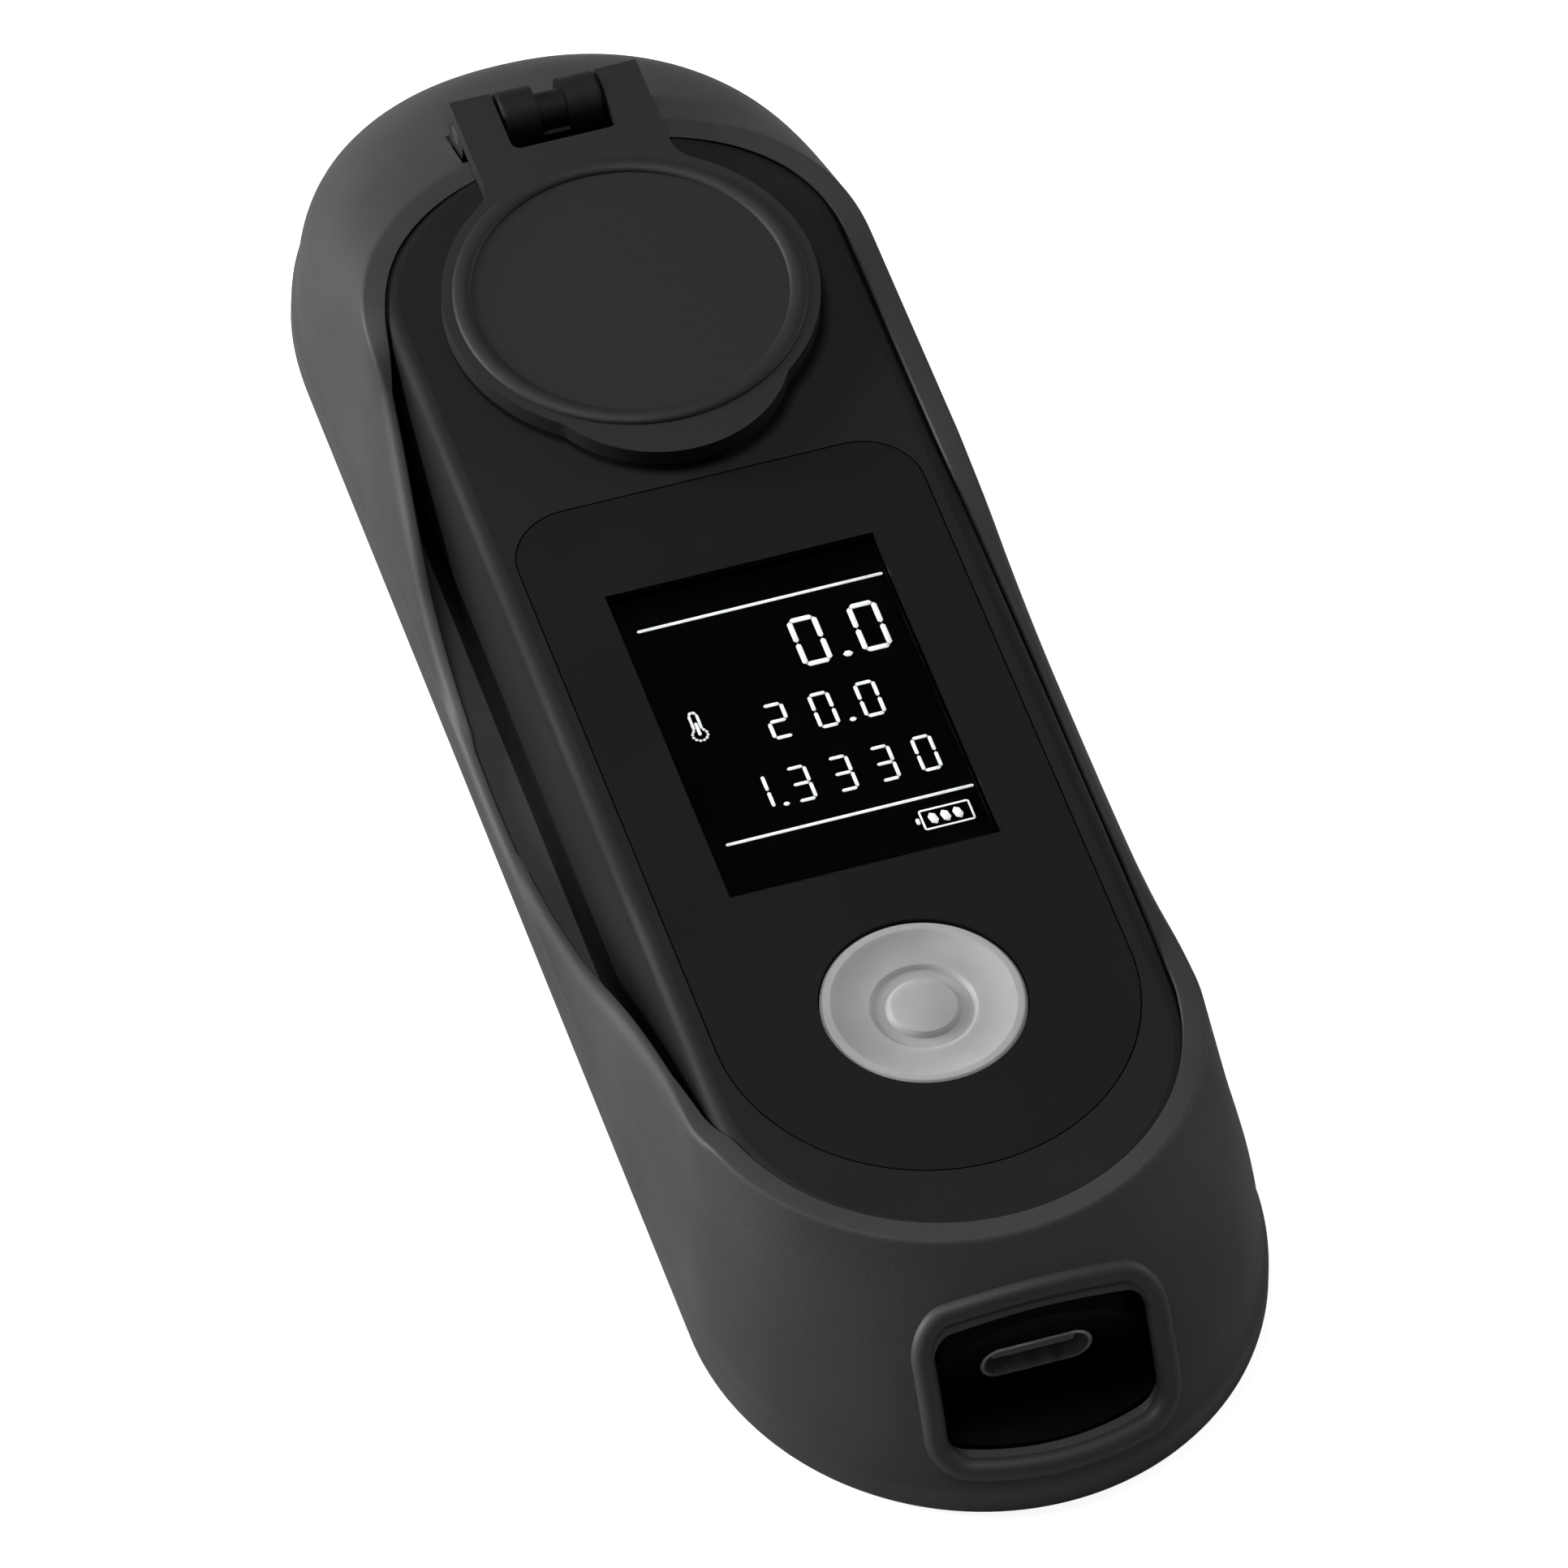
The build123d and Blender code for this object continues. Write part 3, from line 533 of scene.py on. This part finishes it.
# Label
# Black polyester film, glued into a shallow recess in the face. Its display opening and the
# hole for the button are die cut, and a hair's breadth of gap runs round its edge.
label_film = moulded_finish("label_film", colour=(0.0052, 0.0052, 0.0054), roughness=0.46,
                            grain=0.00009, depth=0.000003, variation=0.06, specular=0.2)
dress(label_film, "front_label")

# Display
# A black panel behind a flush clear window, on a milky light guide in a snap-in frame.
# The window has an anti-glare coat, so almost nothing shows in it but the marks.
haze_size, haze_drift = 0.006, 0.02


def clear_finish(name, colour, ior, roughness):
    """Clear glass or plastic with a trace of haze."""
    material, tree, shader, place = new_finish(name)
    shader.inputs["Base Color"].default_value = (*colour, 1)
    shader.inputs["Transmission Weight"].default_value = 1
    shader.inputs["IOR"].default_value = ior
    haze = noise(tree, place, haze_size)
    tree.links.new(spread(tree, haze, roughness, roughness + haze_drift), shader.inputs["Roughness"])
    return material


window_clear = clear_finish("window_clear", colour=(1, 1, 1), ior=1.03, roughness=0.0)
panel_black = moulded_finish("panel_black", colour=(0.0008, 0.0008, 0.0009), roughness=0.35,
                             grain=0.0005, depth=0.000001, variation=0.3, specular=0.02)
frame_plastic = moulded_finish("frame_plastic", colour=(0.02, 0.02, 0.02), roughness=0.45,
                               grain=0.0002, depth=0.000008)
guide_white = moulded_finish("guide_white", colour=(0.78, 0.79, 0.77), roughness=0.3,
                             grain=0.0004, depth=0.000003, variation=0.02)
dress(window_clear, "display_window")
dress(panel_black, "lcd_glass")
dress(frame_plastic, "lcd_frame")
dress(guide_white, "backlight_panel")

# Marks on the display
# Lit segments in the panel: two rules, three rows of seven-segment numbers, a thermometer and a
# battery sign. Each mark is a thin stroke with mitred ends, on top of the black panel.
segment_ends = {
    "a": ((0, 1), (1, 1)), "b": ((1, 1), (1, 0.5)), "c": ((1, 0.5), (1, 0)), "d": ((0, 0), (1, 0)),
    "e": ((0, 0), (0, 0.5)), "f": ((0, 0.5), (0, 1)), "g": ((0, 0.5), (1, 0.5)),
}
segments_of = {"0": "abcdef", "1": "bc", "2": "abged", "3": "abgcd"}
number_rows = [
    # number, left of its first digit, foot, digit width, digit height, pitch, stroke width, dot after
    ("00", 2.3, 36.2, 2.0, 4.6, 4.9, 0.42, 0),
    ("200", -2.3, 29.75, 1.45, 3.35, 3.75, 0.3, 1),
    ("13330", -5.9, 23.15, 1.4, 3.35, 3.4, 0.28, 0),
]
segment_gap, dot_height = 0.06, 1.2
rule_left, rule_right, rule_places, rule_width = -9.3, 10.9, (20.65, 43.35), 0.26
battery_left, battery_right, battery_low, battery_high, battery_width = 5.95, 9.95, 17.45, 19.35, 0.16
terminal_x, terminal_low, terminal_high, terminal_width = 5.6, 18.05, 18.75, 0.3
bar_places, bar_lean, bar_low, bar_high, bar_width = (7.0, 8.0, 9.0), -0.3, 17.8, 19.0, 0.62
bulb_x, bulb_y, bulb_radius, bulb_steps = -7.75, 31.9, 0.62, 10
bulb_start, bulb_step = 120, 30
glass_width, glass_shoulder, glass_tip = 0.22, 34.0, 34.3
liquid_low, liquid_high, liquid_width = 31.8, 33.2, 0.26
thickness_share = 0.3
weld_distance = 0.000002
mark_lift = 0.000055
glimmer_size, glimmer_low, glimmer_high = 0.0006, 0.5, 0.62
button_low, button_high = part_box("button_cap")
button_y = (button_low.y + button_high.y) / 2
panel_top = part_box("lcd_glass")[1].z
strokes = []


def stroke(start, end, width, gap=0.0):
    """A mark between two points, measured from the button, kept short of both by a gap."""
    start, end = Vector(start), Vector(end)
    along = (end - start).normalized()
    strokes.append((start + along * gap, end - along * gap, width))


def draw_number(number, left, foot, digit_width, digit_height, pitch, width, dot_after):
    """A row of seven-segment digits with a dot after one of them."""
    for index, digit in enumerate(number):
        corner = Vector((left + index * pitch, foot))
        for segment in segments_of[digit]:
            ends = [corner + Vector((x * digit_width, y * digit_height)) for x, y in segment_ends[segment]]
            stroke(ends[0], ends[1], width, segment_gap)
    dot = Vector((left + (dot_after + 0.5) * pitch + digit_width / 2, foot + width / 4))
    stroke(dot - Vector((width, 0)), dot + Vector((width, 0)), dot_height * width)


def draw_battery():
    """An outline with a terminal on its left, and three leaning bars."""
    corners = [(battery_left, battery_low), (battery_right, battery_low),
               (battery_right, battery_high), (battery_left, battery_high)]
    for start, end in zip(corners, corners[1:] + corners[:1]):
        stroke(start, end, battery_width)
    stroke((terminal_x, terminal_low), (terminal_x, terminal_high), terminal_width)
    for x in bar_places:
        stroke((x, bar_low), (x + bar_lean, bar_high), bar_width)


def draw_thermometer():
    """A round bulb, open at the top, under a pointed glass with liquid in it."""
    bulb = []
    for step in range(bulb_steps + 1):
        turn = math.radians(bulb_start + bulb_step * step)
        bulb.append((bulb_x + bulb_radius * math.cos(turn), bulb_y + bulb_radius * math.sin(turn)))
    for start, end in zip(bulb, bulb[1:]):
        stroke(start, end, glass_width)
    for side in (bulb[0], bulb[-1]):
        stroke(side, (side[0], glass_shoulder), glass_width)
        stroke((side[0], glass_shoulder), (bulb_x, glass_tip), glass_width)
    stroke((bulb_x, liquid_low), (bulb_x, liquid_high), liquid_width)


def stroke_mesh():
    """Every stroke as a line of four points, with its half width running out at both ends."""
    points, edges, half_strokes = [], [], []
    for start, end, width in strokes:
        along = (end - start).normalized() * width / 2
        first = len(points)
        for point, half in ((start, 0), (start + along, width / 2), (end - along, width / 2), (end, 0)):
            points.append((point.x * mm, point.y * mm + button_y, 0))
            half_strokes.append(half * mm)
        edges += [(first + step, first + step + 1) for step in range(3)]
    mesh = bpy.data.meshes.new("display_strokes")
    mesh.from_pydata(points, edges, [])
    mesh.attributes.new("half_width", "FLOAT", "POINT").data.foreach_set("value", half_strokes)
    return mesh


def mark_finish():
    """Lit white, a little uneven."""
    material, tree, shader, place = new_finish("mark_white")
    shader.inputs["Base Color"].default_value = (0.85, 0.86, 0.86, 1)
    shader.inputs["Roughness"].default_value = 0.6
    shader.inputs["Emission Color"].default_value = (0.9, 0.93, 0.95, 1)
    glimmer = spread(tree, noise(tree, place, glimmer_size), glimmer_low, glimmer_high)
    tree.links.new(glimmer, shader.inputs["Emission Strength"])
    return material


for row in number_rows:
    draw_number(*row)
for rule_place in rule_places:
    stroke((rule_left, rule_place), (rule_right, rule_place), rule_width)
draw_battery()
draw_thermometer()

mark_shape, mark_inputs = new_shape("mark_shape", ["Thickness share"])
make, join = mark_shape.nodes.new, mark_shape.links.new
given = make("NodeGroupInput")
lines = make("GeometryNodeMeshToCurve")
flat = make("GeometryNodeSetCurveNormal")
flat.mode = "Z_UP"
half_width = make("GeometryNodeInputNamedAttribute")
half_width.data_type = "FLOAT"
half_width.inputs["Name"].default_value = "half_width"
section = make("GeometryNodeCurvePrimitiveQuadrilateral")
section.inputs["Width"].default_value = 2  # it is scaled by half the stroke's width
body = make("GeometryNodeCurveToMesh")
body.inputs["Fill Caps"].default_value = True
weld = make("GeometryNodeMergeByDistance")
weld.inputs["Distance"].default_value = weld_distance
join(given.outputs["Geometry"], lines.inputs["Mesh"])
join(lines.outputs["Curve"], flat.inputs["Curve"])
join(half_width.outputs["Attribute"], body.inputs["Scale"])
join(flat.outputs["Curve"], body.inputs["Curve"])
join(given.outputs["Thickness share"], section.inputs["Height"])
join(section.outputs["Curve"], body.inputs["Profile Curve"])
join(body.outputs["Mesh"], weld.inputs["Geometry"])
end_shape(mark_shape, weld.outputs["Geometry"], mark_finish())

display_marks = new_piece("display_marks", stroke_mesh())
shape_piece(display_marks, mark_shape, mark_inputs, {"Thickness share": thickness_share})
display_marks.data.transform(Matrix.Translation((0, 0, panel_top + mark_lift)))
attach(display_marks, "housing")

# Button and its switch
# A cap of milky grey silicone with a dished face, a ring groove and a small nub in the middle.
# Light gets a little way into it. Its stem rests on the plunger of a small square switch.
button_colour = (0.42, 0.42, 0.42)
cloud_size, cloud_dark, cloud_light = 0.005, 0.93, 1.06


def silicone_finish():
    """Cloudy grey that lets light a little way in."""
    material, tree, shader, place = new_finish("button_silicone")
    cloud = noise(tree, place, cloud_size)
    darker = [channel * cloud_dark for channel in button_colour]
    lighter = [channel * cloud_light for channel in button_colour]
    tone = two_tone(tree, spread(tree, cloud, 0, 1), darker, lighter)
    tree.links.new(tone, shader.inputs["Base Color"])
    shader.inputs["Subsurface Weight"].default_value = 0.6
    shader.inputs["Subsurface Radius"].default_value = (1, 1, 1)
    shader.inputs["Subsurface Scale"].default_value = 0.002
    shader.inputs["Specular IOR Level"].default_value = 0.35
    tree.links.new(spread(tree, cloud, 0.44, 0.56), shader.inputs["Roughness"])
    raise_grain(tree, shader, noise(tree, place, 0.0004), 0.000006)
    return material


natural_nylon = moulded_finish("natural_nylon", colour=(0.6, 0.57, 0.5), roughness=0.4,
                               grain=0.0003, depth=0.000004, variation=0.05)
dress(silicone_finish(), "button_cap")
dress(frame_plastic, "switch_body")
dress(natural_nylon, "switch_plunger")

# Circuit boards and chips
# Glass-fibre boards under green solder mask, with copper tracks that show as lighter lines.
# The chips are matt black packages, and the line sensor is glazed.
mask_green = (0.012, 0.12, 0.045)
mask_shade = 0.85
track_green = (0.03, 0.2, 0.08)
track_scale, track_width = 160, 0.06


def board_finish():
    """Green solder mask over a pattern of tracks."""
    material, tree, shader, place = new_finish("solder_mask")
    tracks = tree.nodes.new("ShaderNodeTexBrick")
    tracks.inputs["Scale"].default_value = track_scale
    tracks.inputs["Mortar Size"].default_value = track_width
    tracks.inputs["Color1"].default_value = (*mask_green, 1)
    tracks.inputs["Color2"].default_value = (*[channel * mask_shade for channel in mask_green], 1)
    tracks.inputs["Mortar"].default_value = (*track_green, 1)
    tree.links.new(place, tracks.inputs["Vector"])
    tree.links.new(tracks.outputs["Color"], shader.inputs["Base Color"])
    tree.links.new(spread(tree, noise(tree, place, 0.003), 0.25, 0.4), shader.inputs["Roughness"])
    raise_grain(tree, shader, tracks.outputs["Fac"], 0.00002)
    return material


chip_black = moulded_finish("chip_black", colour=(0.02, 0.02, 0.021), roughness=0.5,
                            grain=0.00015, depth=0.000008)
sensor_glaze = moulded_finish("sensor_glaze", colour=(0.05, 0.05, 0.06), roughness=0.12,
                              grain=0.001, depth=0.000002, variation=0.1, specular=0.5)
dress(board_finish(), "main_board", "light_board", "sensor_board")
dress(chip_black, "board_chips", "temperature_sensor")
dress(sensor_glaze, "line_sensor")

# Charging socket
# A drawn steel shell round a moulded tongue, at the bottom of the pocket in the near end.
# Drawing leaves the shell with long faint lines from front to back.


def shell_finish():
    """Drawn steel, with tone and shine in long lines."""
    material, tree, shader, place = new_finish("shell_steel")
    shader.inputs["Metallic"].default_value = 1
    drawn_lines = noise(tree, place, 0.0008, detail=1.0, stretch=(1, 0.1, 1))
    tone = two_tone(tree, spread(tree, drawn_lines, 0, 1), (0.7, 0.7, 0.7), (0.85, 0.85, 0.84))
    tree.links.new(tone, shader.inputs["Base Color"])
    tree.links.new(spread(tree, drawn_lines, 0.36, 0.44), shader.inputs["Roughness"])
    return material


tongue_plastic = moulded_finish("tongue_plastic", colour=(0.16, 0.16, 0.165), roughness=0.4,
                                grain=0.0002, depth=0.000004)
dress(shell_finish(), "usb_shell")
dress(tongue_plastic, "usb_tongue")

# Battery and pad
# A pouch cell in wrinkled foil, which lies in the lower shell on a strip of black foam.
# The foam holds it still.


def foil_finish():
    """Bright foil with soft wrinkles."""
    material, tree, shader, place = new_finish("battery_foil")
    shader.inputs["Metallic"].default_value = 1
    wrinkles = noise(tree, place, 0.005, detail=5.0)
    tone = two_tone(tree, spread(tree, wrinkles, 0, 1), (0.58, 0.59, 0.6), (0.74, 0.75, 0.76))
    tree.links.new(tone, shader.inputs["Base Color"])
    tree.links.new(spread(tree, wrinkles, 0.25, 0.4), shader.inputs["Roughness"])
    raise_grain(tree, shader, wrinkles, 0.00012)
    return material


pad_foam = moulded_finish("pad_foam", colour=(0.03, 0.03, 0.03), roughness=0.9,
                          grain=0.0004, depth=0.00006)
dress(foil_finish(), "battery_cell")
dress(pad_foam, "battery_pad")

# Sample well, prism and optics
# A turned stainless dish with the prism's top face at its bottom. Below it a black housing
# holds the prism, a lamp, a lens and a line sensor.
well_low, well_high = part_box("sample_well")
well_steel = turned_metal("well_steel", colour=(0.6, 0.6, 0.59), roughness=0.24,
                          ring=0.00025, depth=0.000006, centre_y=(well_low.y + well_high.y) / 2)
optical_glass = clear_finish("optical_glass", colour=(0.93, 0.98, 1.0), ior=1.52, roughness=0.0)
lamp_resin = clear_finish("lamp_resin", colour=(0.95, 0.82, 0.4), ior=1.5, roughness=0.05)
dress(well_steel, "sample_well")
dress(frame_plastic, "optics_housing")
dress(optical_glass, "prism", "beam_lens")
dress(lamp_resin, "light_source")

# Cover and hinge pin
# A black moulded lid with a raised bead and a finger tab, which turns on a ground steel pin.
# It is a little greyer than the face.
cover_plastic = moulded_finish("cover_plastic", colour=(0.0145, 0.0145, 0.0147), roughness=0.58,
                               grain=0.00016, depth=0.00001, variation=0.08, specular=0.32)
pin_steel = turned_metal("pin_steel", colour=(0.56, 0.56, 0.55), roughness=0.28,
                         ring=0.0003, depth=0.000003)
dress(cover_plastic, "sample_cover")
dress(pin_steel, "hinge_pin")

# Studio
# A pale floor and a surround, both white to the camera only. One lamp stands low on the left, one
# hangs overhead and a weak one stands on the right. The camera has the photograph's angle.
floor_half = 4.0
floor_grey = 0.6
floor_glow = 0.9
surround_on_piece, surround_to_camera = 0.1, 1
camera_azimuth, camera_elevation, camera_roll = math.radians(18.14), math.radians(49.97), math.radians(0.34)
camera_left, camera_up, camera_distance = 0.01068, 0.01655, 1.310
sensor_width = 36
photo_width, photo_focal_length = 1932, 21107


def floor_finish():
    """Matt pale grey that glows to the camera only, so that it looks white."""
    material = bpy.data.materials.new("floor_white")
    material.use_nodes = True
    tree = material.node_tree
    shader = tree.nodes["Principled BSDF"]
    shader.inputs["Base Color"].default_value = (floor_grey, floor_grey, floor_grey, 1)
    shader.inputs["Roughness"].default_value = 0.9
    shader.inputs["Specular IOR Level"].default_value = 0.0
    shader.inputs["Emission Color"].default_value = (1, 1, 1, 1)
    seen = tree.nodes.new("ShaderNodeLightPath")
    glow = tree.nodes.new("ShaderNodeMath")
    glow.operation = "MULTIPLY"
    glow.inputs[1].default_value = floor_glow
    tree.links.new(seen.outputs["Is Camera Ray"], glow.inputs[0])
    tree.links.new(glow.outputs["Value"], shader.inputs["Emission Strength"])
    return material


def lamp(name, place, target, size, power):
    """A square area lamp aimed at a point."""
    light = bpy.data.lights.new(name, "AREA")
    light.size = size
    light.energy = power
    holder = new_piece(name, light)
    holder.location = place
    holder.rotation_euler = (Vector(target) - Vector(place)).to_track_quat("-Z", "Y").to_euler()


floor_mesh = bpy.data.meshes.new("studio_floor")
floor_mesh.from_pydata([(-floor_half, -floor_half, 0), (floor_half, -floor_half, 0),
                        (floor_half, floor_half, 0), (-floor_half, floor_half, 0)], [], [(0, 1, 2, 3)])
floor_mesh.materials.append(floor_finish())
floor = new_piece("studio_floor", floor_mesh)

world = bpy.data.worlds.new("studio")
bpy.context.scene.world = world
world.use_nodes = True
surround = world.node_tree.nodes["Background"]
surround.inputs["Color"].default_value = (1, 1, 1, 1)
seen_by_camera = world.node_tree.nodes.new("ShaderNodeLightPath").outputs["Is Camera Ray"]
surround_level = spread(world.node_tree, seen_by_camera, surround_on_piece, surround_to_camera, 0, 1)
world.node_tree.links.new(surround_level, surround.inputs["Strength"])

lamp("lamp_left", place=(-0.75, 0.4, 0.26), target=(0, 0.01, 0.01), size=0.4, power=9.5)
lamp("lamp_above", place=(-0.2, 0.16, 0.9), target=(0, 0, 0.01), size=0.3, power=4.0)
lamp("lamp_right", place=(0.8, 0.15, 0.35), target=(0, 0, 0.01), size=0.35, power=1.5)

camera_turn = (Matrix.Rotation(-camera_azimuth, 4, "Z")
               @ Matrix.Rotation(math.pi / 2 - camera_elevation, 4, "X")
               @ Matrix.Rotation(camera_roll, 4, "Z"))
right, up, back = [camera_turn.col[axis].xyz for axis in range(3)]
aim = Vector((0, button_y, rim * mm))
camera_data = bpy.data.cameras.new("camera")
camera_data.sensor_width = sensor_width
camera_data.lens = sensor_width * photo_focal_length / photo_width
camera_data.clip_end = 20
camera = new_piece("camera", camera_data)
camera.matrix_world = camera_turn
camera.location = aim - right * camera_left + up * camera_up + back * camera_distance
bpy.context.scene.camera = camera
bpy.context.scene.view_settings.view_transform = "Standard"
